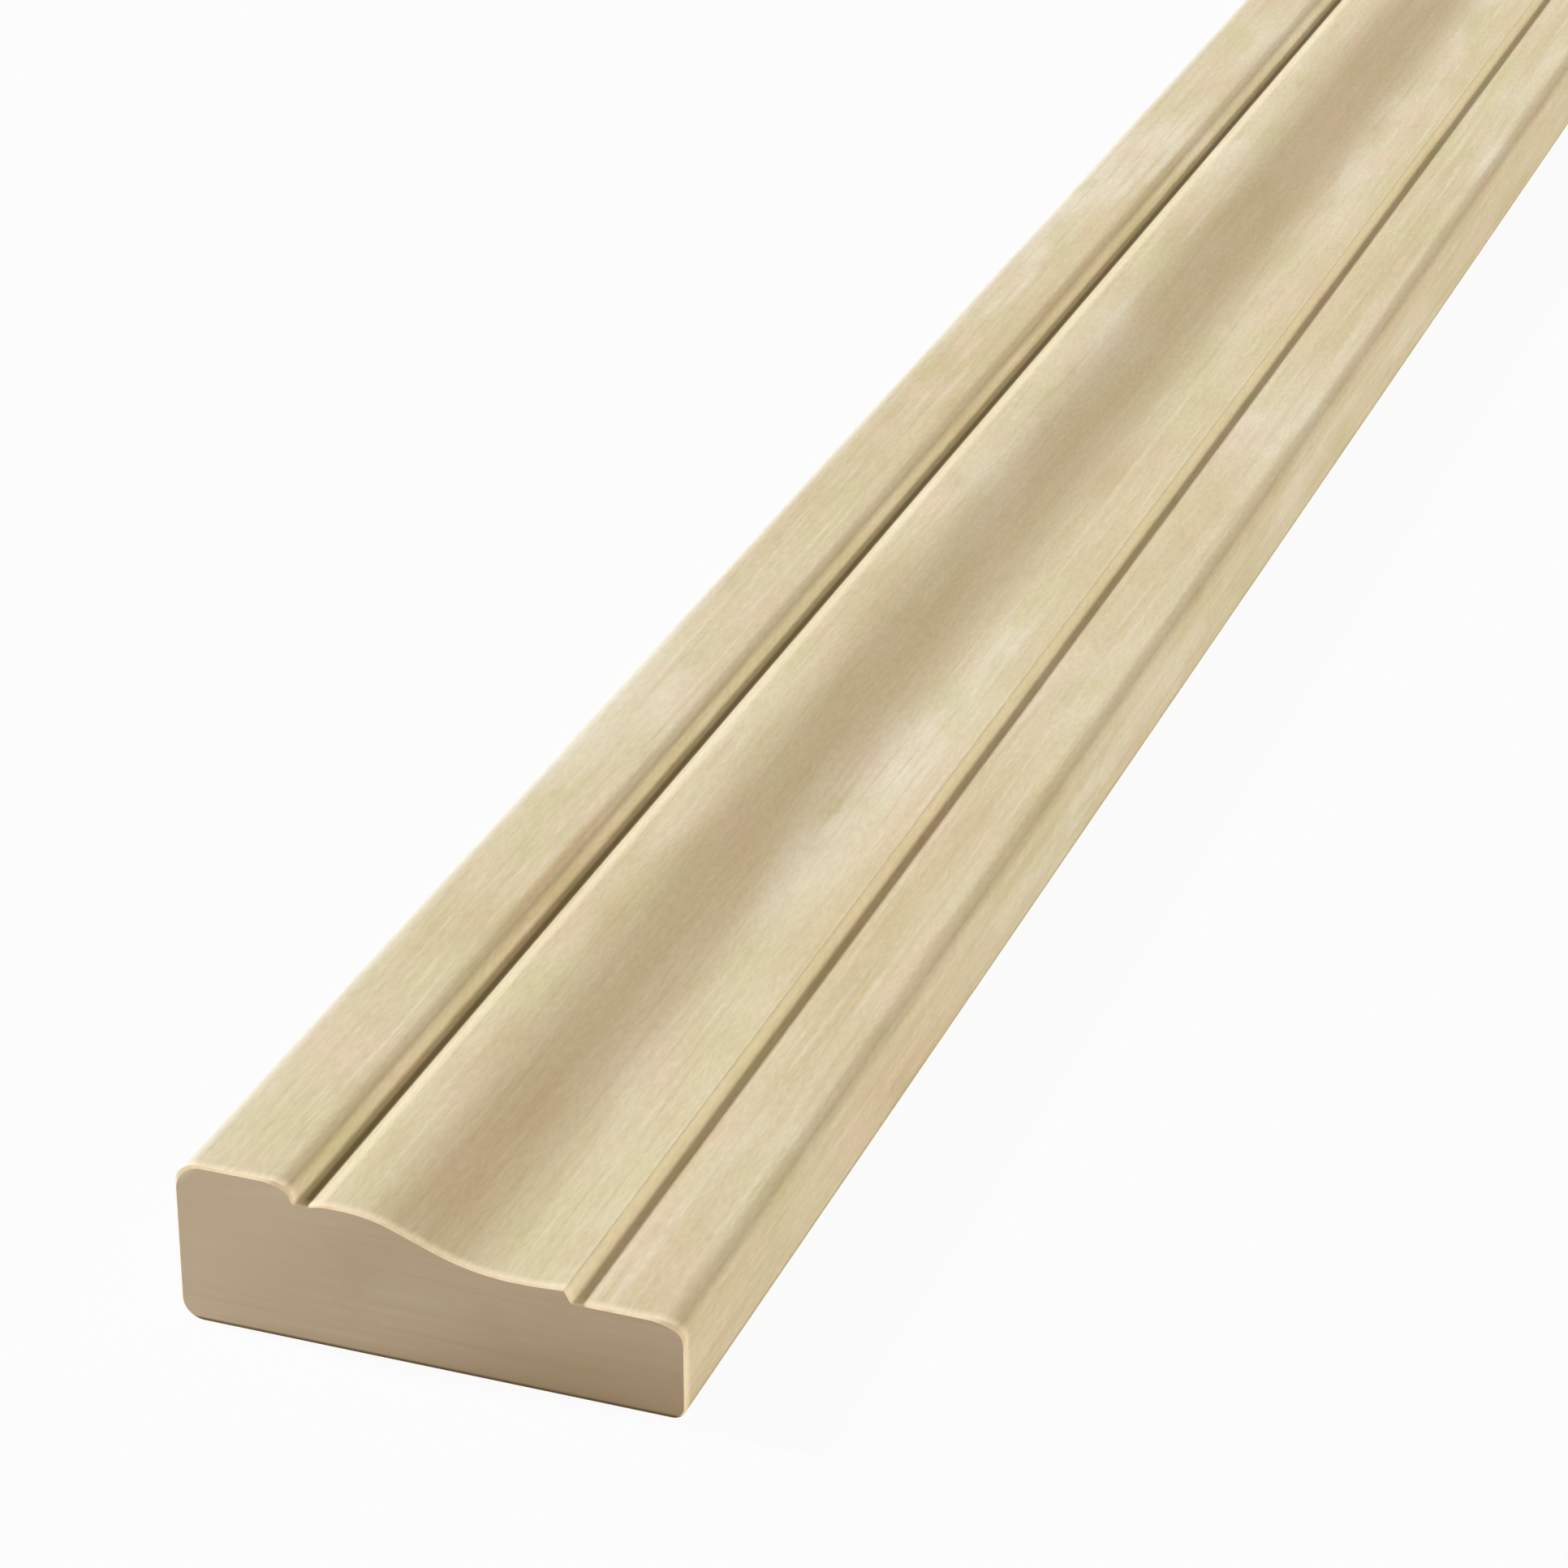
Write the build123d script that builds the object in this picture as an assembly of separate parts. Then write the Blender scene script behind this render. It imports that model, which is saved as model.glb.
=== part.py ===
from build123d import *
import math
import os

# A length of door and window casing, moulded from one piece, in millimetres.
# It lies on its flat back: X runs across the face from the thick edge to the thin edge,
# Y runs along the length, and Z is up from the back.

# Overall size of the stock
length = 2133.6
width = 57.15
thickness = 19.05

# Eased corners of the thick edge, and of the back
thick_edge_radius = 2.6
thick_back_radius = 2.5
thin_back_radius = 1.6

# Flat band along the thick edge, and the shoulder where it turns down into the quirk
band_width = 10.8
band_ease_radius = 4.7
band_ease_slope = 22.0
band_nose_radius = 1.7
band_wall_slope = 78.0

# Quirk, the narrow channel beside the band: its depth is measured down from the band
quirk_depth = 2.2
quirk_floor = 1.25
quirk_corner_radius = 0.3

# Crown of the ogee: it rises from the quirk and levels off at its crest
crest_depth = 1.77
crown_lead_radius = 6.5
crown_flat = 1.36
crown_radius = 17.0

# Ogee slope and the cove at its foot, which lifts a little towards the lip
ogee_slope = 21.0
cove_radius = 25.0
cove_depth = 6.25
cove_tail = 5.43
cove_tail_radius = 58.0

# Step down from the lip to the thumb
lip_radius = 0.32
step_slope = 62.0
step_corner_radius = 0.4
thumb_depth = 7.43

# Shoulder of the thumb, eased over into the thin edge
thumb_ease_radius = 4.8
thumb_ease_slope = 22.0
thumb_nose_radius = 1.9

# Arris taken off both sawn ends
end_arris = 0.2

LEVEL = 0.0
DOWN = -90.0


class Section:
    """An outline traced edge by edge in the XZ plane, each edge tangent to the last unless turned."""

    def __init__(self, x, z, heading):
        self.x = x
        self.z = z
        self.heading = heading
        self.edges = []

    def straight(self, distance):
        """Runs on by a distance along the present heading."""
        angle = math.radians(self.heading)
        end_x = self.x + distance * math.cos(angle)
        end_z = self.z + distance * math.sin(angle)
        self.edges.append(Line((self.x, self.z), (end_x, end_z)))
        self.x = end_x
        self.z = end_z

    def bend(self, radius, heading):
        """Turns to a new heading on an arc."""
        start = math.radians(self.heading)
        tangent = (math.cos(start), math.sin(start))
        self.edges.append(JernArc((self.x, self.z), tangent, radius, heading - self.heading))
        rise = bend_rise(radius, self.heading, heading)
        self.x += bend_run(radius, self.heading, heading)
        self.z += rise
        self.heading = heading

    def wall_and_foot(self, floor_z, foot_radius, heading):
        """Runs down the present slope and turns on a foot that ends level with the floor."""
        foot_drop = -bend_rise(foot_radius, self.heading, heading)
        drop = self.z - floor_z - foot_drop
        self.straight(drop / math.sin(math.radians(-self.heading)))
        self.bend(foot_radius, heading)


def bend_run(radius, start, end):
    """How far a bend moves along X."""
    run = math.sin(math.radians(end)) - math.sin(math.radians(start))
    return radius * run if end > start else -radius * run


def bend_rise(radius, start, end):
    """How far a bend moves along Z."""
    rise = math.cos(math.radians(start)) - math.cos(math.radians(end))
    return radius * rise if end > start else -radius * rise


def trace_band(section):
    """Thick edge, flat band and the shoulder that falls towards the quirk."""
    section.straight(thickness - thick_back_radius - thick_edge_radius)
    section.bend(thick_edge_radius, LEVEL)
    section.straight(band_width - thick_edge_radius)
    section.bend(band_ease_radius, -band_ease_slope)
    section.bend(band_nose_radius, -band_wall_slope)


def trace_quirk_and_crown(section):
    """Channel beside the band, then the rise to the crest of the ogee."""
    section.wall_and_foot(thickness - quirk_depth, quirk_corner_radius, LEVEL)
    section.straight(quirk_floor)
    crown_rise = quirk_depth - crest_depth
    section.heading = math.degrees(math.acos(1 - crown_rise / crown_lead_radius))
    section.bend(crown_lead_radius, LEVEL)
    section.straight(crown_flat)


def trace_ogee(section):
    """Crown, straight slope and cove, with the cove's bottom at its stated depth."""
    section.bend(crown_radius, -ogee_slope)
    section.wall_and_foot(thickness - cove_depth, cove_radius, LEVEL)
    lift = math.degrees(math.asin(cove_tail / cove_tail_radius))
    section.bend(cove_tail_radius, lift)


def trace_thumb(section):
    """Step below the lip, the flat thumb and its shoulder down the thin edge."""
    section.bend(lip_radius, -step_slope)
    section.wall_and_foot(thickness - thumb_depth, step_corner_radius, LEVEL)
    ease_run = bend_run(thumb_ease_radius, LEVEL, -thumb_ease_slope)
    nose_run = bend_run(thumb_nose_radius, -thumb_ease_slope, DOWN)
    section.straight(width - ease_run - nose_run - section.x)
    section.bend(thumb_ease_radius, -thumb_ease_slope)
    section.bend(thumb_nose_radius, DOWN)


def trace_back(section):
    """Thin edge, flat back and the two back corners, round to where the trace began."""
    section.straight(section.z - thin_back_radius)
    section.bend(thin_back_radius, 2 * DOWN)
    section.straight(section.x - thick_back_radius)
    section.bend(thick_back_radius, 3 * DOWN)


def casing_section():
    """Cross-section of the casing, from the thick edge at X = 0 to the thin edge."""
    section = Section(0, thick_back_radius, -DOWN)
    trace_band(section)
    trace_quirk_and_crown(section)
    trace_ogee(section)
    trace_thumb(section)
    trace_back(section)
    return make_face(Plane.XZ * Curve(section.edges))


def casing_strip():
    """The section run along the whole length, with the arris taken off both sawn ends."""
    section = Pos(-width / 2, -length / 2, 0) * casing_section()
    strip = extrude(section, amount=length, dir=(0, 1, 0))
    ends = strip.faces().sort_by(Axis.Y)
    return chamfer(ends[0].edges() + ends[-1].edges(), end_arris)


os.makedirs("parts", exist_ok=True)
export_step(casing_strip(), "parts/casing_strip.step")
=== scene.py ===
import logging
import math
from dataclasses import dataclass, field
from enum import IntEnum

import bpy
import numpy as np
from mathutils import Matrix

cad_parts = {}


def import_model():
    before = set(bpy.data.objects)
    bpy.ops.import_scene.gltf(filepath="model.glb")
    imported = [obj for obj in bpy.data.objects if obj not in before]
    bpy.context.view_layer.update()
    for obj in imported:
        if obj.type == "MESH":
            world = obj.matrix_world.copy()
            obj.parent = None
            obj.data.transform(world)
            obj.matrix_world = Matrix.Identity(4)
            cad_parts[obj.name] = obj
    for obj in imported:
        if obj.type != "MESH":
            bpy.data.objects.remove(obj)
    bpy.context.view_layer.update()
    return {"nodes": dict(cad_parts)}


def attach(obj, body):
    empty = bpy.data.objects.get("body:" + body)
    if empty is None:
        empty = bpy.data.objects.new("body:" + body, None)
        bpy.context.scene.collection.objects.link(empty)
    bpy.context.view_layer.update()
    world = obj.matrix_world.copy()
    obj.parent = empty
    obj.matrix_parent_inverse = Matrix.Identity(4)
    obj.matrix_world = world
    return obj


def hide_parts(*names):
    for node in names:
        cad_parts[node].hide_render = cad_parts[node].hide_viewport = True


MM = 0.001
LEVEL = 0.0
DOWN = -90.0
CREAM = "#EADFCA"
HONEY = "#C8B38A"
BLUSH = "#E3CBB4"
# Brown for painted shade on the ogee slope and both shoulders
SHADE_BROWN = "#BCA685"
# Cream for painted highlight on the crown's lead edge and the step's lip and wall
HIGHLIGHT_CREAM = "#F4E6C8"
# Dark brown for painted shade along the back of each end, where it meets the floor
CONTACT_SHADE_BROWN = "#6B5A45"

Triple = tuple[float, float, float]

log = logging.getLogger("casing")


class Surface(IntEnum):
    """Which of the strip's finishes a face has."""

    LONG_GRAIN = 0
    END_GRAIN = 1
    ARRIS = 2


def linear_colour(code: str) -> tuple[float, float, float, float]:
    """Turns an sRGB hex code into the linear colour that a shader takes.

    Args:
        code: Six hex digits with a leading hash.

    Returns:
        Linear red, green, blue and an alpha of 1.
    """
    shares = [int(code[i:i + 2], 16) / 255 for i in (1, 3, 5)]
    linear = [s / 12.92 if s <= 0.04045 else ((s + 0.055) / 1.055) ** 2.4 for s in shares]
    return (linear[0], linear[1], linear[2], 1.0)


def add_node(
    tree: bpy.types.NodeTree,
    kind: str,
    inputs: dict[int | str, object] | None = None,
    **settings: object,
) -> bpy.types.Node:
    """Adds a node to a tree, with its settings made and its inputs filled.

    Args:
        tree: The tree that takes the node.
        kind: The node's type name.
        inputs: A value or another node's output for each input, by name or number.
        settings: Properties of the node itself.

    Returns:
        The new node.
    """
    node = tree.nodes.new(kind)
    for name, value in settings.items():
        setattr(node, name, value)
    for key, source in (inputs or {}).items():
        if isinstance(source, bpy.types.NodeSocket):
            tree.links.new(source, node.inputs[key])
        else:
            node.inputs[key].default_value = source
    return node


@dataclass(frozen=True)
class Pattern:
    """Soft noise whose patches have a given size along each axis.

    The pitch is that size in millimetres along X, Y and Z. The detail is how many finer layers are added,
    and the offset shifts the pattern, so that two with one pitch differ.
    """

    pitch: Triple
    detail: float = 2.0
    offset: Triple = (0.0, 0.0, 0.0)


@dataclass(frozen=True)
class Tint:
    """A colour laid on where a value runs from its start to its end, up to a given share."""

    colour: str
    start: float
    end: float
    share: float = 1.0


class Painter:
    """Builds one material's colour out of named steps, in millimetres."""

    def __init__(self, name: str) -> None:
        """Starts an empty material whose patterns are read in the object's own coordinates.

        Args:
            name: The material's name.
        """
        self.material = bpy.data.materials.new(name)
        self.material.use_nodes = True
        self.tree = self.material.node_tree
        self.tree.nodes.clear()
        place = add_node(self.tree, "ShaderNodeTexCoord")
        self.place = self.vector("SCALE", place.outputs["Object"], scale=1 / MM)
        self.axes = add_node(self.tree, "ShaderNodeSeparateXYZ", {0: self.place}).outputs

    def vector(
        self,
        operation: str,
        first: object,
        second: object = (0.0, 0.0, 0.0),
        third: object = (0.0, 0.0, 0.0),
        scale: float = 1.0,
    ) -> bpy.types.NodeSocket:
        """Works on vectors.

        Args:
            operation: The vector node's operation.
            first: First input.
            second: Second input.
            third: Third input, for a multiply and add.
            scale: Factor, for a scale.

        Returns:
            The vector, or the value where the operation gives one.
        """
        inputs = {0: first, "Scale": scale} if operation == "SCALE" else {0: first, 1: second, 2: third}
        node = add_node(self.tree, "ShaderNodeVectorMath", inputs, operation=operation)
        return node.outputs["Value" if operation == "LENGTH" else "Vector"]

    def maths(
        self,
        operation: str,
        first: object,
        second: object = 0.0,
        third: object = 0.0,
    ) -> bpy.types.NodeSocket:
        """Works on plain values.

        Args:
            operation: The math node's operation.
            first: First input.
            second: Second input.
            third: Third input, for a multiply and add.

        Returns:
            The result.
        """
        node = add_node(self.tree, "ShaderNodeMath", {0: first, 1: second, 2: third}, operation=operation)
        return node.outputs[0]

    def noise(self, pattern: Pattern, output: str = "Fac") -> bpy.types.NodeSocket:
        """Makes soft noise.

        Args:
            pattern: Size and detail of the noise.
            output: Fac for a value, Color for three.

        Returns:
            The noise, about 0.5 on average.
        """
        scale = tuple(1 / pitch for pitch in pattern.pitch)
        where = self.vector("MULTIPLY_ADD", self.place, scale, pattern.offset)
        inputs = {"Vector": where, "Scale": 1.0, "Detail": pattern.detail, "Roughness": 0.5}
        return add_node(self.tree, "ShaderNodeTexNoise", inputs).outputs[output]

    def ramp(
        self,
        value: object,
        start: float,
        end: float,
        low: float = 0.0,
        high: float = 1.0,
        smooth: bool = True,
    ) -> bpy.types.NodeSocket:
        """Maps a value from one range to another, held at both ends.

        Args:
            value: The value to map.
            start: Where the ramp starts.
            end: Where it ends.
            low: What it gives at the start.
            high: What it gives at the end.
            smooth: True for a ramp with soft ends.

        Returns:
            The mapped value.
        """
        inputs = {"Value": value, 1: start, 2: end, 3: low, 4: high}
        kind = "SMOOTHSTEP" if smooth else "LINEAR"
        return add_node(self.tree, "ShaderNodeMapRange", inputs, interpolation_type=kind).outputs[0]

    def lay(self, under: object, over: object, share: object) -> bpy.types.NodeSocket:
        """Lays one colour over another.

        Args:
            under: Colour below.
            over: Colour laid on top.
            share: How much of the top colour shows.

        Returns:
            The combined colour.
        """
        inputs = {0: share, 6: under, 7: over}
        return add_node(self.tree, "ShaderNodeMix", inputs, data_type="RGBA").outputs[2]

    def tint(self, under: object, value: object, tints: tuple[Tint, ...]) -> bpy.types.NodeSocket:
        """Lays tints over a colour, one after another, where a value calls for them.

        Args:
            under: Colour below.
            value: The value that says where each tint shows.
            tints: The tints, in order.

        Returns:
            The tinted colour.
        """
        colour = under
        for tint in tints:
            share = self.ramp(value, tint.start, tint.end, 0.0, tint.share)
            colour = self.lay(colour, linear_colour(tint.colour), share)
        return colour

    def shade(self, colour: object, value: object) -> bpy.types.NodeSocket:
        """Multiplies all three channels of a colour by one value.

        Args:
            colour: The colour.
            value: The factor.

        Returns:
            The shaded colour.
        """
        factor = add_node(self.tree, "ShaderNodeCombineXYZ", {0: value, 1: value, 2: value})
        return self.vector("MULTIPLY", colour, factor.outputs[0])

    def finish(
        self,
        colour: object,
        roughness: float,
        gloss: float,
        height: object,
        depth: float,
    ) -> bpy.types.Material:
        """Joins the colour, the roughness and the fine relief to the surface.

        Args:
            colour: The base colour.
            roughness: The surface's roughness.
            gloss: Level of the plain reflection, 0.5 for the full one.
            height: Relief of the surface, from 0 to 1.
            depth: Depth of that relief in millimetres.

        Returns:
            The finished material.
        """
        relief = {"Strength": 1.0, "Distance": depth * MM, "Height": height}
        bump = add_node(self.tree, "ShaderNodeBump", relief)
        inputs = {
            "Base Color": colour,
            "Roughness": roughness,
            "IOR": 1.5,
            "Specular IOR Level": gloss,
            "Normal": bump.outputs[0],
        }
        shader = add_node(self.tree, "ShaderNodeBsdfPrincipled", inputs)
        add_node(self.tree, "ShaderNodeOutputMaterial", {"Surface": shader.outputs[0]})
        return self.material


@dataclass(frozen=True)
class Patch:
    """A place on the face where the wood has another colour, long along the grain."""

    across: float
    along: float
    half_width: float
    half_length: float
    colour: str
    share: float


@dataclass(frozen=True)
class Band:
    """A stripe along the whole length, strongest at one place across the face.

    It shows only under a given height. The core is the part of its half width that has the full share,
    and it fades out over a short rise around that height.
    """

    across: float
    half_width: float
    colour: str
    share: float
    below: float = 100.0
    core: float = 0.25
    fade: tuple[float, float] = (0.12, -0.05)


@dataclass(frozen=True)
class MouldedLongGrain:
    """Bare pale hardwood, planed to the section by a moulder's knives, with the grain along the length.

    The knives leave it smooth and dull: straight fine streaks and a soft, uneven cream colour, with almost
    no shine.
    """

    base: str = "#DBCDAC"
    roughness: float = 0.62
    gloss: float = 0.35
    fibre_depth: float = 0.012

    # Broad clouds and blushes of the wood's own colour, and the mottle inside them
    clouds: Pattern = Pattern((14.0, 60.0, 14.0))
    cloud_tints: tuple[Tint, ...] = (Tint(CREAM, 0.48, 0.74), Tint(HONEY, 0.47, 0.28, 0.60))
    blush: Pattern = Pattern((8.0, 20.0, 8.0), offset=(7.1, 3.3, 1.7))
    blush_tints: tuple[Tint, ...] = (Tint("#D3CAA0", 0.52, 0.70, 0.6), Tint(BLUSH, 0.48, 0.31, 0.5))
    mottle: Pattern = Pattern((3.2, 9.0, 3.2), 3.0, (2.7, 8.1, 4.4))
    mottle_tints: tuple[Tint, ...] = (Tint(BLUSH, 0.53, 0.72, 0.34), Tint(HONEY, 0.46, 0.28, 0.25))

    # Growth rings round a pith far below the strip
    ring_spacing: float = 3.4
    ring_centre: Triple = (6.0, 0.0, -75.0)
    ring_sway: Pattern = Pattern((26.0, 420.0, 26.0), 1.0)
    ring_sway_reach: float = 9.0
    ring_tints: tuple[Tint, ...] = (Tint(HONEY, 0.50, 0.75, 0.35),)

    # Fine straight streaks, and the fuzz of the fibres
    streaks: Pattern = Pattern((0.75, 26.0, 0.75), 3.0)
    streak_tints: tuple[Tint, ...] = (Tint(CREAM, 0.52, 0.75, 0.50), Tint(HONEY, 0.47, 0.28, 0.40))
    fuzz: Pattern = Pattern((0.35, 1.6, 0.35), 3.0)
    speck: tuple[float, float] = (0.95, 1.05)
    fuzz_relief: float = 0.5

    # Amber, brown and pale flecks, their rims torn by the streaks
    patches: tuple[Patch, ...] = (
        Patch(-16.6, -988.0, 0.8, 20.0, "#C49E6C", 0.40),
        Patch(-16.2, -800.0, 0.7, 60.0, "#C8A878", 0.30),
        Patch(-2.0, -1052.0, 4.0, 20.0, "#CBAE8A", 0.35),
        Patch(0.5, -1038.0, 2.4, 9.0, "#CDAB88", 0.30),
        Patch(-18.0, -795.0, 5.0, 70.0, "#CDB98A", 0.30),
        Patch(-7.0, -798.0, 0.9, 16.0, "#EFE7D6", 0.40),
        Patch(26.2, -700.0, 1.4, 12.0, "#EDE6D4", 0.50),
        Patch(9.0, -845.0, 0.5, 40.0, "#E8DDC4", 0.40),
        Patch(21.4, -1032.0, 0.9, 14.0, "#E9E0CC", 0.35),
    )
    patch_tear: float = 1.6
    patch_rim: tuple[float, float] = (1.95, 1.0)

    # Bands along the length, mostly painted light: painted shade on the ogee slope (partly the wood's own
    # browner tone), the shoulders, the quirk's floor and the thin edge's foot, and painted highlight on the
    # crown's lead edge, the thick edge and the step
    # Ogee slope: partly the wood's own browner tone, partly painted shade where the slope turns from the low
    # side lamp
    slope: Band = Band(0.0, 9.0, SHADE_BROWN, 0.5)
    # Painted shade along the thumb's and the band's shoulders, where they turn from the low side lamp
    thumb_shoulder_shade: Band = Band(27.1, 0.9, SHADE_BROWN, 0.4)
    band_shoulder_shade: Band = Band(-16.1, 1.0, SHADE_BROWN, 0.42)
    # Painted highlight on the crown's lead edge, which faces the low side lamp
    crown_lead_highlight: Band = Band(-12.1, 0.8, HIGHLIGHT_CREAM, 0.5)
    # Painted shade: a dark line on the quirk's floor beside the band's wall, darker than the lamps make it
    quirk: Band = Band(-13.66, 0.70, "#8E7C54", 0.95, below=17.0)
    # Painted highlight: a paler, greyer tone on the thick edge's rounding, standing in for its near-white
    # glare
    thick_edge_highlight: Band = Band(-29.0, 3.6, "#D5CEC0", 0.75)
    # Painted highlight on the step's lip and wall, lighter than the lamps make them
    step_wall_highlight: Band = Band(15.62, 0.62, HIGHLIGHT_CREAM, 0.55)
    # Painted shade: a grey line along the thin edge's foot, where it meets the floor
    thin_foot_shade: Band = Band(29.2, 2.4, "#A79E8E", 0.6, below=1.5)

    # The last millimetre and a half before each sawn end, paler: partly the sanded wood, partly painted
    # highlight that widens the bright line of the arris
    end_rim_highlight: tuple[Tint, ...] = (Tint("#FBE9CC", 1065.2, 1066.5, 0.75),)

    def rings(self, painter: Painter) -> bpy.types.NodeSocket:
        """Growth rings, seen as long lines on the face.

        Args:
            painter: The material under way.

        Returns:
            The rings, from 0 to 1.
        """
        sway = painter.noise(self.ring_sway, output="Color")
        reach = (self.ring_sway_reach, 0.0, self.ring_sway_reach)
        swayed = painter.vector("MULTIPLY_ADD", sway, reach, painter.place)
        from_pith = tuple(-c for c in self.ring_centre)
        flat = painter.vector("MULTIPLY_ADD", swayed, (1.0, 0.0, 1.0), from_pith)
        radius = painter.vector("LENGTH", flat)
        count = painter.maths("DIVIDE", radius, self.ring_spacing)
        inputs = {"W": count, "Scale": 1.0, "Detail": 3.0, "Roughness": 0.55}
        return add_node(painter.tree, "ShaderNodeTexNoise", inputs, noise_dimensions="1D").outputs[0]

    def make(self) -> bpy.types.Material:
        """Makes the material.

        Returns:
            The wood of the moulded faces.
        """
        painter = Painter("bare_hardwood_moulded_along_grain")
        streaks = painter.noise(self.streaks)
        fuzz = painter.noise(self.fuzz)
        colour = painter.tint(linear_colour(self.base), painter.noise(self.clouds), self.cloud_tints)
        colour = painter.tint(colour, painter.noise(self.blush), self.blush_tints)
        colour = painter.tint(colour, self.rings(painter), self.ring_tints)
        colour = painter.tint(colour, streaks, self.streak_tints)
        colour = painter.tint(colour, painter.noise(self.mottle), self.mottle_tints)
        for patch in self.patches:
            colour = self.stain(painter, colour, patch, streaks)
        # Painted shade and painted highlight, laid as bands along the section
        for band in (self.slope, self.thumb_shoulder_shade, self.band_shoulder_shade, self.crown_lead_highlight):
            colour = self.stripe(painter, colour, band)
        for band in (self.quirk, self.thick_edge_highlight, self.step_wall_highlight, self.thin_foot_shade):
            colour = self.stripe(painter, colour, band)
        colour = painter.tint(colour, painter.maths("ABSOLUTE", painter.axes["Y"]), self.end_rim_highlight)
        colour = painter.shade(colour, painter.ramp(fuzz, 0.35, 0.65, *self.speck, smooth=False))
        relief = painter.maths("MULTIPLY_ADD", fuzz, self.fuzz_relief, streaks)
        return painter.finish(colour, self.roughness, self.gloss, relief, self.fibre_depth)

    def stripe(self, painter: Painter, colour: bpy.types.NodeSocket, band: Band) -> bpy.types.NodeSocket:
        """Lays one band along the whole length.

        Args:
            painter: The material under way.
            colour: The colour so far.
            band: The band.

        Returns:
            The colour with the band.
        """
        off = painter.maths("ABSOLUTE", painter.maths("SUBTRACT", painter.axes["X"], band.across))
        near = painter.ramp(off, band.half_width, band.core * band.half_width, 0.0, band.share)
        low = painter.ramp(painter.axes["Z"], band.below + band.fade[0], band.below + band.fade[1])
        return painter.lay(colour, linear_colour(band.colour), painter.maths("MULTIPLY", near, low))

    def stain(
        self,
        painter: Painter,
        colour: bpy.types.NodeSocket,
        patch: Patch,
        streaks: bpy.types.NodeSocket,
    ) -> bpy.types.NodeSocket:
        """Lays one patch of another colour on the wood, its rim broken up by the streaks.

        Args:
            painter: The material under way.
            colour: The colour so far.
            patch: The patch.
            streaks: Streaks that break up its rim.

        Returns:
            The colour with the patch.
        """
        scale = (1 / patch.half_width, 1 / patch.half_length, 0.0)
        shift = (-patch.across / patch.half_width, -patch.along / patch.half_length, 0.0)
        reach = painter.vector("LENGTH", painter.vector("MULTIPLY_ADD", painter.place, scale, shift))
        torn = painter.maths("MULTIPLY_ADD", streaks, self.patch_tear, reach)
        share = painter.ramp(torn, *self.patch_rim, 0.0, patch.share)
        return painter.lay(colour, linear_colour(patch.colour), share)


@dataclass(frozen=True)
class SawnEndGrain:
    """The same wood sawn square across the grain and lightly sanded.

    The open fibre ends take the light in, so the face looks browner and duller than the long grain, with
    growth rings as faint, nearly level lines.
    """

    base: str = "#D6C4AC"
    roughness: float = 0.8
    gloss: float = 0.15
    fibre_depth: float = 0.02
    lines: Pattern = Pattern((30.0, 30.0, 0.9), 3.0)
    line_tints: tuple[Tint, ...] = (Tint("#DCCDB8", 0.50, 0.75, 0.6), Tint("#C7B396", 0.48, 0.30, 0.5))
    clouds: Pattern = Pattern((12.0, 12.0, 6.0))
    cloud_tints: tuple[Tint, ...] = (Tint("#C7B396", 0.50, 0.75, 0.4),)
    pores: Pattern = Pattern((0.25, 0.25, 0.18))
    pore_tints: tuple[Tint, ...] = (Tint("#C7B396", 0.45, 0.25, 0.35),)

    # Darker heartwood towards the lower thin edge and paler wood far from it, and painted shade along the
    # back, where the end meets the floor
    heart_shift: Triple = (-22.0, 0.0, 4.0)
    heart_shape: Triple = (1.0, 0.0, 2.0)
    heart_tints: tuple[Tint, ...] = (Tint("#B8A284", 34.0, 6.0, 0.75), Tint("#E2D0B8", 38.0, 54.0, 0.8))
    foot_shade_tints: tuple[Tint, ...] = (Tint(CONTACT_SHADE_BROWN, 0.60, 0.30, 0.85),)

    def make(self) -> bpy.types.Material:
        """Makes the material.

        Returns:
            The wood of the sawn ends.
        """
        painter = Painter("bare_hardwood_sawn_end_grain")
        pores = painter.noise(self.pores)
        heart = painter.vector("MULTIPLY_ADD", painter.place, self.heart_shape, self.heart_shift)
        colour = painter.tint(linear_colour(self.base), painter.noise(self.lines), self.line_tints)
        colour = painter.tint(colour, painter.noise(self.clouds), self.cloud_tints)
        colour = painter.tint(colour, pores, self.pore_tints)
        colour = painter.tint(colour, painter.vector("LENGTH", heart), self.heart_tints)
        colour = painter.tint(colour, painter.axes["Z"], self.foot_shade_tints)
        return painter.finish(colour, self.roughness, self.gloss, pores, self.fibre_depth)


@dataclass(frozen=True)
class SandedArris:
    """The edge round a sawn end, where the corner has been taken off with paper.

    Its near-white colour is partly the paler sanded wood and partly painted highlight, the thin bright line
    that the lit edge shows. Along the back it darkens to painted shade, where the edge meets the floor.
    """

    # Near-white: partly the paler sanded wood, partly painted highlight on the edge
    base: str = "#FBE6C6"
    roughness: float = 0.75
    gloss: float = 0.2
    fibre_depth: float = 0.01
    fuzz: Pattern = Pattern((1.6, 0.4, 1.6))
    fuzz_tints: tuple[Tint, ...] = (Tint("#F2D8B2", 0.45, 0.7),)
    # Painted shade along the back, where the edge meets the floor
    foot_shade_tints: tuple[Tint, ...] = (Tint(CONTACT_SHADE_BROWN, 0.6, 0.25, 0.9),)

    def make(self) -> bpy.types.Material:
        """Makes the material.

        Returns:
            The wood of the sanded edge, with its painted highlight and painted shade.
        """
        painter = Painter("bare_hardwood_sanded_arris")
        fuzz = painter.noise(self.fuzz)
        colour = painter.tint(linear_colour(self.base), fuzz, self.fuzz_tints)
        colour = painter.tint(colour, painter.axes["Z"], self.foot_shade_tints)
        return painter.finish(colour, self.roughness, self.gloss, fuzz, self.fibre_depth)


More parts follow.
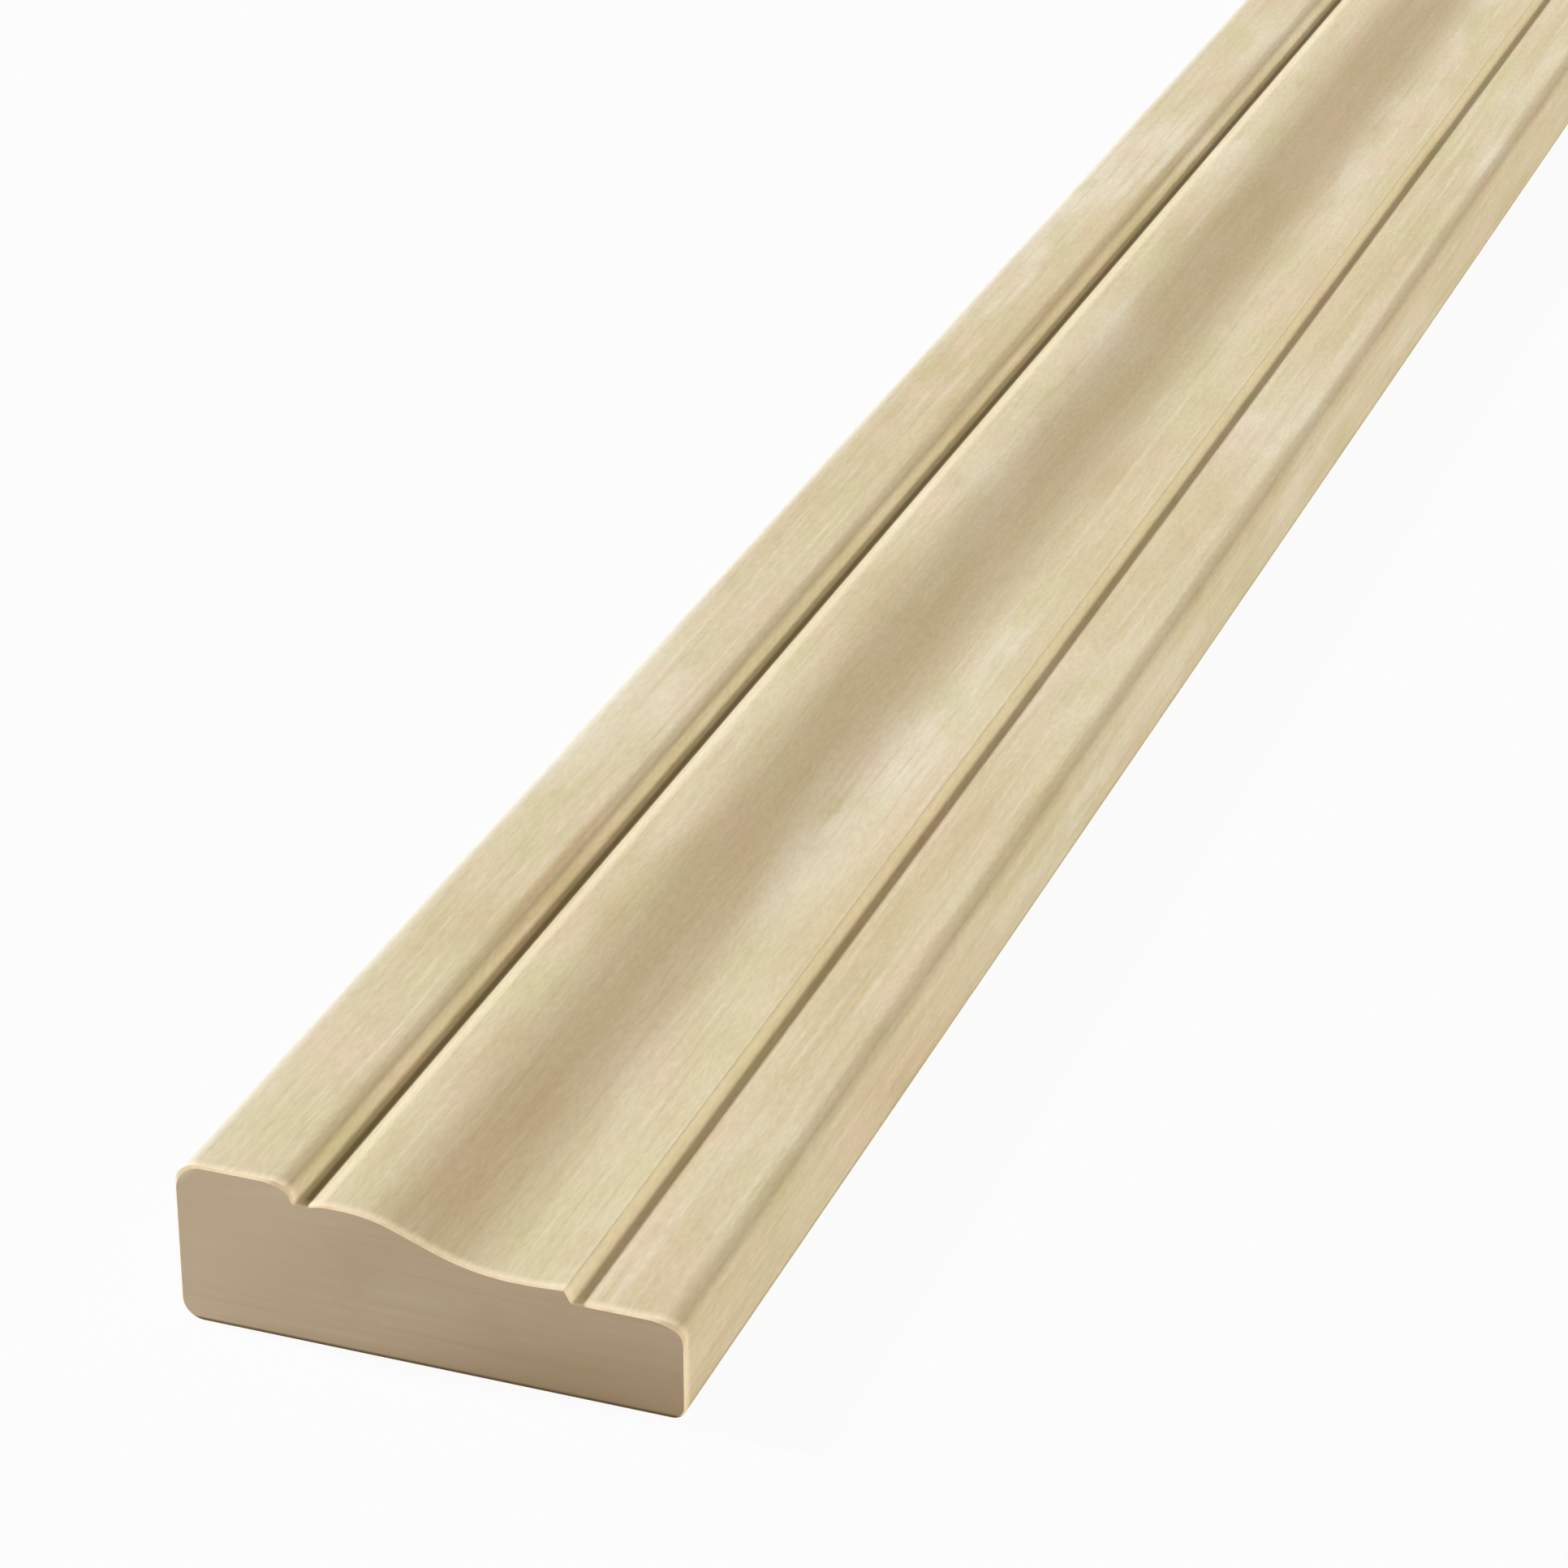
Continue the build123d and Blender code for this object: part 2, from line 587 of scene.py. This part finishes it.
class Outline:
    """Points traced round the section, each run tangent to the last unless turned."""

    def __init__(self, x: float, z: float, heading: float, arc_step: float, run_step: float) -> None:
        """Starts the trace.

        Args:
            x: Starting point across the face.
            z: Starting height.
            heading: First direction in degrees, counted from +X.
            arc_step: Longest piece of an arc in degrees.
            run_step: Longest piece of a run or arc in millimetres.
        """
        self.x = x
        self.z = z
        self.heading = heading
        self.arc_step = arc_step
        self.run_step = run_step
        self.points = [(x, z)]

    def straight(self, distance: float) -> None:
        """Runs on by a distance along the present heading.

        Args:
            distance: Length of the run in millimetres.
        """
        angle = math.radians(self.heading)
        count = max(1, math.ceil(distance / self.run_step))
        start = (self.x, self.z)
        for i in range(1, count + 1):
            reach = distance * i / count
            self.x = start[0] + reach * math.cos(angle)
            self.z = start[1] + reach * math.sin(angle)
            self.points.append((self.x, self.z))

    def bend(self, radius: float, heading: float) -> None:
        """Turns to a new heading on an arc.

        Args:
            radius: Radius of the arc in millimetres.
            heading: The heading at its end.
        """
        start = math.radians(self.heading)
        side = 1 if heading > self.heading else -1
        centre = (self.x - side * radius * math.sin(start), self.z + side * radius * math.cos(start))
        turn = abs(heading - self.heading)
        by_length = math.ceil(radius * math.radians(turn) / self.run_step)
        count = max(2, math.ceil(turn / self.arc_step), by_length)
        for i in range(1, count + 1):
            angle = math.radians(self.heading + (heading - self.heading) * i / count)
            self.x = centre[0] + side * radius * math.sin(angle)
            self.z = centre[1] - side * radius * math.cos(angle)
            self.points.append((self.x, self.z))
        self.heading = heading

    def wall_and_foot(self, floor_z: float, foot_radius: float, heading: float) -> None:
        """Runs down the present slope and turns on a foot that ends level with the floor.

        Args:
            floor_z: Height of the floor.
            foot_radius: Radius of the foot.
            heading: The heading at its end.
        """
        drop = self.z - floor_z + bend_rise(foot_radius, self.heading, heading)
        self.straight(drop / math.sin(math.radians(-self.heading)))
        self.bend(foot_radius, heading)


def bend_run(radius: float, start: float, end: float) -> float:
    """How far a bend moves along X.

    Args:
        radius: Radius of the bend.
        start: Heading at its start in degrees.
        end: Heading at its end.

    Returns:
        The distance.
    """
    run = math.sin(math.radians(end)) - math.sin(math.radians(start))
    return radius * run if end > start else -radius * run


def bend_rise(radius: float, start: float, end: float) -> float:
    """How far a bend moves along Z.

    Args:
        radius: Radius of the bend.
        start: Heading at its start in degrees.
        end: Heading at its end.

    Returns:
        The distance.
    """
    rise = math.cos(math.radians(start)) - math.cos(math.radians(end))
    return radius * rise if end > start else -radius * rise


@dataclass
class CasingSection:
    """The moulded section in millimetres, traced from the thick edge over the face and back under it."""

    width: float = 57.15
    thickness: float = 19.05
    thick_edge_radius: float = 2.6
    thick_back_radius: float = 2.5
    thin_back_radius: float = 1.6
    band_width: float = 10.8
    band_ease_radius: float = 4.7
    band_ease_slope: float = 22.0
    band_nose_radius: float = 1.7
    band_wall_slope: float = 78.0
    quirk_depth: float = 2.2
    quirk_floor: float = 1.25
    quirk_corner_radius: float = 0.3
    crest_depth: float = 1.77
    crown_lead_radius: float = 6.5
    crown_flat: float = 1.36
    crown_radius: float = 17.0
    ogee_slope: float = 21.0
    cove_radius: float = 25.0
    cove_depth: float = 6.25
    cove_tail: float = 5.43
    cove_tail_radius: float = 58.0
    lip_radius: float = 0.32
    step_slope: float = 62.0
    step_corner_radius: float = 0.4
    thumb_depth: float = 7.43
    thumb_ease_radius: float = 4.8
    thumb_ease_slope: float = 22.0
    thumb_nose_radius: float = 1.9
    arc_step: float = 5.0
    run_step: float = 0.45

    def trace_band(self, outline: Outline) -> None:
        """Thick edge, flat band and the shoulder that falls towards the quirk.

        Args:
            outline: The trace so far, carried on here.
        """
        outline.straight(self.thickness - self.thick_back_radius - self.thick_edge_radius)
        outline.bend(self.thick_edge_radius, LEVEL)
        outline.straight(self.band_width - self.thick_edge_radius)
        outline.bend(self.band_ease_radius, -self.band_ease_slope)
        outline.bend(self.band_nose_radius, -self.band_wall_slope)

    def trace_quirk_and_crown(self, outline: Outline) -> None:
        """Channel beside the band, then the rise to the crest of the ogee.

        Args:
            outline: The trace so far, carried on here.
        """
        outline.wall_and_foot(self.thickness - self.quirk_depth, self.quirk_corner_radius, LEVEL)
        outline.straight(self.quirk_floor)
        rise = self.quirk_depth - self.crest_depth
        outline.heading = math.degrees(math.acos(1 - rise / self.crown_lead_radius))
        outline.bend(self.crown_lead_radius, LEVEL)
        outline.straight(self.crown_flat)

    def trace_ogee(self, outline: Outline) -> None:
        """Crown, straight slope and cove, with the cove's bottom at its stated depth.

        Args:
            outline: The trace so far, carried on here.
        """
        outline.bend(self.crown_radius, -self.ogee_slope)
        outline.wall_and_foot(self.thickness - self.cove_depth, self.cove_radius, LEVEL)
        lift = math.degrees(math.asin(self.cove_tail / self.cove_tail_radius))
        outline.bend(self.cove_tail_radius, lift)

    def trace_thumb(self, outline: Outline) -> None:
        """Step below the lip, the flat thumb and its shoulder down the thin edge.

        Args:
            outline: The trace so far, carried on here.
        """
        outline.bend(self.lip_radius, -self.step_slope)
        outline.wall_and_foot(self.thickness - self.thumb_depth, self.step_corner_radius, LEVEL)
        ease_run = bend_run(self.thumb_ease_radius, LEVEL, -self.thumb_ease_slope)
        nose_run = bend_run(self.thumb_nose_radius, -self.thumb_ease_slope, DOWN)
        outline.straight(self.width - ease_run - nose_run - outline.x)
        outline.bend(self.thumb_ease_radius, -self.thumb_ease_slope)
        outline.bend(self.thumb_nose_radius, DOWN)

    def trace_back(self, outline: Outline) -> None:
        """Thin edge, flat back and the two back corners, round to where the trace began.

        Args:
            outline: The trace so far, carried on here.
        """
        outline.straight(outline.z - self.thin_back_radius)
        outline.bend(self.thin_back_radius, 2 * DOWN)
        outline.straight(outline.x - self.thick_back_radius)
        outline.bend(self.thick_back_radius, 3 * DOWN)

    def points(self) -> np.ndarray:
        """Traces the whole section.

        Returns:
            Points in order round the section, clockwise, with X counted from the middle of the width.
        """
        outline = Outline(0.0, self.thick_back_radius, -DOWN, self.arc_step, self.run_step)
        self.trace_band(outline)
        self.trace_quirk_and_crown(outline)
        self.trace_ogee(outline)
        self.trace_thumb(outline)
        self.trace_back(outline)
        return np.array(outline.points[:-1]) - (self.width / 2, 0.0)


@dataclass(frozen=True)
class Dent:
    """A small bruise in the face, in millimetres in the part's frame."""

    across: float
    along: float
    half_width: float
    half_length: float
    depth: float


@dataclass
class CasingStrip:
    """One length of casing: the section run along Y, with the arris taken off both sawn ends."""

    section: CasingSection = field(default_factory=CasingSection)
    length: float = 2133.6
    end_arris: float = 0.2

    # The proud corners of the section, where the arris is worn deeper
    worn_corners: tuple[tuple[float, float], ...] = ((-16.0, 18.6), (27.2, 11.0), (-28.0, 18.5))
    wear: float = 0.3
    wear_reach: float = 2.3
    crease_angle: float = 28.0

    # Spacing of the rings of points, closer over the stretch that the camera sees and at each dent
    near_reach: float = 440.0
    near_step: float = 6.0
    far_step: float = 20.0
    dents: tuple[Dent, ...] = (Dent(-20.2, -1048.6, 0.45, 0.8, 0.12),)
    dent_rows: int = 11
    dent_margin: float = 1.5

    grain: MouldedLongGrain = field(default_factory=MouldedLongGrain)
    end_grain: SawnEndGrain = field(default_factory=SawnEndGrain)
    arris: SandedArris = field(default_factory=SandedArris)

    def rows(self) -> np.ndarray:
        """Places along the length that carry a ring of points, closer together near the camera and at dents.

        Returns:
            Distances from the middle of the length, in order.
        """
        start = -self.length / 2 + self.end_arris
        end = self.length / 2 - self.end_arris
        near = np.arange(start, start + self.near_reach, self.near_step)
        far = np.linspace(near[-1], end, math.ceil((end - near[-1]) / self.far_step) + 1)[1:]
        fine = []
        for dent in self.dents:
            reach = self.dent_margin * dent.half_length
            fine.append(np.linspace(dent.along - reach, dent.along + reach, self.dent_rows))
        return np.unique(np.concatenate([near, far, *fine]).round(4))

    def inward(self, points: np.ndarray) -> np.ndarray:
        """Directions from the outline into the wood.

        Args:
            points: The outline, clockwise.

        Returns:
            A unit vector for each point.
        """
        run = np.roll(points, -1, axis=0) - points
        run /= np.linalg.norm(run, axis=1)[:, None]
        mean = run + np.roll(run, 1, axis=0)
        mean /= np.linalg.norm(mean, axis=1)[:, None]
        return np.stack([mean[:, 1], -mean[:, 0]], axis=1)

    def arris_depth(self, points: np.ndarray) -> np.ndarray:
        """How far the arris reaches in from the outline, a little farther at the worn corners.

        Args:
            points: The outline.

        Returns:
            A depth for each point, in millimetres.
        """
        depth = np.full(len(points), self.end_arris)
        for corner in self.worn_corners:
            off = np.linalg.norm(points - corner, axis=1) / self.wear_reach
            depth += self.wear * np.clip(1 - off ** 2, 0, None)
        return depth

    def rings(self) -> tuple[np.ndarray, int]:
        """Rings of points along the strip, the first and last drawn in by the arris.

        Returns:
            An array of rings by points by three, in millimetres, and the number of points in a ring.
        """
        points = self.section.points()
        inner = points + self.inward(points) * self.arris_depth(points)[:, None]
        rows = self.rows()
        places = np.concatenate([[-self.length / 2], rows, [self.length / 2]])
        rings = np.zeros((len(places), len(points), 3))
        rings[:, :, 0] = points[None, :, 0]
        rings[:, :, 1] = places[:, None]
        rings[:, :, 2] = points[None, :, 1]
        rings[[0, -1], :, 0] = inner[None, :, 0]
        rings[[0, -1], :, 2] = inner[None, :, 1]
        return rings, len(points)

    def bruise(self, rings: np.ndarray) -> None:
        """Presses the dents into the face.

        Args:
            rings: The rings of points, changed in place.
        """
        for dent in self.dents:
            across = (rings[:, :, 0] - dent.across) / dent.half_width
            along = (rings[:, :, 1] - dent.along) / dent.half_length
            reach = np.clip(1 - across ** 2 - along ** 2, 0, None)
            top = rings[:, :, 2] > self.section.thickness / 2
            rings[:, :, 2] -= np.where(top, dent.depth * reach, 0)

    def build(self) -> bpy.types.Object:
        """Makes the strip's mesh and dresses it.

        Returns:
            The strip.
        """
        rings, count = self.rings()
        self.bruise(rings)
        total = len(rings)
        here = np.arange(total * count).reshape(total, count)
        there = np.roll(here, -1, axis=1)
        quads = np.stack([here[:-1], here[1:], there[1:], there[:-1]], axis=2).reshape(-1, 4)
        faces = [tuple(q) for q in quads.tolist()]
        faces.append(tuple(here[0].tolist()))
        faces.append(tuple(here[-1][::-1].tolist()))
        mesh = bpy.data.meshes.new("casing_strip_moulded")
        mesh.from_pydata((rings.reshape(-1, 3) * MM).tolist(), [], faces)
        self.dress(mesh, count)
        strip = bpy.data.objects.new("casing_strip_moulded", mesh)
        bpy.context.scene.collection.objects.link(strip)
        log.info("strip: %d points, %d faces", total * count, len(faces))
        return strip

    def dress(self, mesh: bpy.types.Mesh, count: int) -> None:
        """Gives each face its finish, and shades all but the creases smoothly.

        Args:
            mesh: The strip's mesh, with both end faces last and an arris before and after the long faces.
            count: Number of points in a ring.
        """
        for finish in (self.grain, self.end_grain, self.arris):
            mesh.materials.append(finish.make())
        faces = len(mesh.polygons)
        slots = np.full(faces, Surface.LONG_GRAIN, dtype=np.int32)
        slots[:count] = Surface.ARRIS
        slots[-2 - count:-2] = Surface.ARRIS
        slots[-2:] = Surface.END_GRAIN
        mesh.polygons.foreach_set("material_index", slots)
        mesh.polygons.foreach_set("use_smooth", np.ones(faces, dtype=bool))
        mesh.update()
        mesh.set_sharp_from_angle(angle=math.radians(self.crease_angle))


@dataclass(frozen=True)
class Lamp:
    """A distant soft lamp.

    Its level is what it adds to a white surface that faces it, and its bearing is counted clockwise
    from +Y, looking down.
    """

    name: str
    level: Triple
    elevation: float
    bearing: float
    breadth: float

    def build(self) -> bpy.types.Object:
        """Makes the lamp.

        Returns:
            The lamp.
        """
        light = bpy.data.lights.new(self.name, "SUN")
        strongest = max(self.level)
        light.energy = math.pi * strongest
        light.color = tuple(c / strongest for c in self.level)
        light.angle = math.radians(self.breadth)
        lamp = bpy.data.objects.new(self.name, light)
        lamp.rotation_euler = (math.radians(self.elevation - 90), 0.0, math.radians(-self.bearing))
        bpy.context.scene.collection.objects.link(lamp)
        return lamp


@dataclass
class Studio:
    """A pale floor, soft low lamps on three sides, and a little even light from all round."""

    floor_size: float = 30.0
    floor_drop: float = 0.00002
    floor_colour: str = "#C8C8C8"
    white: float = 0.998
    white_share: float = 0.95
    ambient: Triple = (0.18, 0.14, 0.08)
    lamps: tuple[Lamp, ...] = (
        Lamp("low_side_lamp", (1.205, 1.28, 1.335), elevation=34.0, bearing=-86.0, breadth=6.0),
        Lamp("far_side_fill", (0.62, 0.62, 0.56), elevation=8.0, bearing=90.0, breadth=20.0),
        Lamp("front_fill", (0.30, 0.285, 0.26), elevation=5.0, bearing=180.0, breadth=30.0),
    )

    def white_colour(self) -> tuple[float, float, float, float]:
        """The white of the floor and the surround, as a shader takes it."""
        return (self.white, self.white, self.white, 1.0)

    def seen_directly(self, tree: bpy.types.NodeTree) -> bpy.types.NodeSocket:
        """One where the camera, a reflection or a clear body looks on, and zero for other light.

        Args:
            tree: The tree that takes the nodes.

        Returns:
            One or zero.
        """
        looks = add_node(tree, "ShaderNodeLightPath").outputs
        seen = looks["Is Camera Ray"]
        for other in ("Is Glossy Ray", "Is Transmission Ray"):
            inputs = {0: seen, 1: looks[other]}
            seen = add_node(tree, "ShaderNodeMath", inputs, operation="MAXIMUM").outputs[0]
        return seen

    def mixed(
        self,
        tree: bpy.types.NodeTree,
        share: bpy.types.NodeSocket,
        first: bpy.types.Node,
        second: bpy.types.Node,
    ) -> bpy.types.Node:
        """Mixes two shaders.

        Args:
            tree: The tree that takes the node.
            share: How much of the second shows.
            first: First shader.
            second: Second shader.

        Returns:
            The mix.
        """
        inputs = {0: share, 1: first.outputs[0], 2: second.outputs[0]}
        return add_node(tree, "ShaderNodeMixShader", inputs)

    def build_floor(self) -> bpy.types.Object:
        """Makes the floor, white to the eye but for the strip's faint shadow, and clear from below.

        Returns:
            The floor.
        """
        half = self.floor_size / 2
        corners = [(-half, -half, 0.0), (half, -half, 0.0), (half, half, 0.0), (-half, half, 0.0)]
        mesh = bpy.data.meshes.new("studio_floor")
        mesh.from_pydata(corners, [], [(0, 1, 2, 3)])
        material = bpy.data.materials.new("matt_white_board")
        material.use_nodes = True
        tree = material.node_tree
        tree.nodes.clear()
        board = add_node(tree, "ShaderNodeBsdfDiffuse", {"Color": linear_colour(self.floor_colour)})
        glow = add_node(tree, "ShaderNodeEmission", {"Color": self.white_colour(), "Strength": 1.0})
        inputs = {0: self.seen_directly(tree), 1: self.white_share}
        share = add_node(tree, "ShaderNodeMath", inputs, operation="MULTIPLY")
        shown = self.mixed(tree, share.outputs[0], board, glow)
        side = add_node(tree, "ShaderNodeNewGeometry")
        clear = add_node(tree, "ShaderNodeBsdfTransparent")
        both = self.mixed(tree, side.outputs["Backfacing"], shown, clear)
        add_node(tree, "ShaderNodeOutputMaterial", {"Surface": both.outputs[0]})
        mesh.materials.append(material)
        floor = bpy.data.objects.new("studio_floor", mesh)
        floor.location = (0.0, 0.0, -self.floor_drop)
        bpy.context.scene.collection.objects.link(floor)
        return floor

    def build_world(self) -> None:
        """Makes the even light, with white to the eye where nothing else is seen."""
        world = bpy.data.worlds.new("studio_surround")
        world.use_nodes = True
        tree = world.node_tree
        tree.nodes.clear()
        light = add_node(tree, "ShaderNodeBackground", {"Color": (*self.ambient, 1.0), "Strength": 1.0})
        plain = add_node(tree, "ShaderNodeBackground", {"Color": self.white_colour(), "Strength": 1.0})
        shown = self.mixed(tree, self.seen_directly(tree), light, plain)
        add_node(tree, "ShaderNodeOutputWorld", {"Surface": shown.outputs[0]})
        bpy.context.scene.world = world


@dataclass
class Viewpoint:
    """The camera, looking down along the strip from beyond its near end."""

    place: Triple = (0.1884, -1.4721, 0.2942)
    tilt: float = 63.10
    turn: float = 20.20
    lens: float = 116.9
    sensor: float = 36.0
    reach: tuple[float, float] = (0.01, 50.0)

    def build(self) -> bpy.types.Object:
        """Makes the camera and gives it to the scene.

        Returns:
            The camera.
        """
        data = bpy.data.cameras.new("camera")
        data.lens = self.lens
        data.sensor_width = self.sensor
        data.clip_start, data.clip_end = self.reach
        camera = bpy.data.objects.new("camera", data)
        camera.location = self.place
        camera.rotation_euler = (math.radians(self.tilt), 0.0, math.radians(self.turn))
        bpy.context.scene.collection.objects.link(camera)
        bpy.context.scene.camera = camera
        return camera


def main() -> None:
    """Builds the scene: the studio, the camera, then the strip."""
    logging.basicConfig(level=logging.INFO, format="%(message)s")
    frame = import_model()
    log.info("frame: %s", ", ".join(frame["nodes"]))
    bpy.context.scene.view_settings.view_transform = "Standard"
    studio = Studio()
    studio.build_floor()
    studio.build_world()
    for lamp in studio.lamps:
        lamp.build()
    Viewpoint().build()
    strip = CasingStrip().build()
    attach(strip, "root")
    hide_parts("casing_strip")


if __name__ == "__main__":
    main()
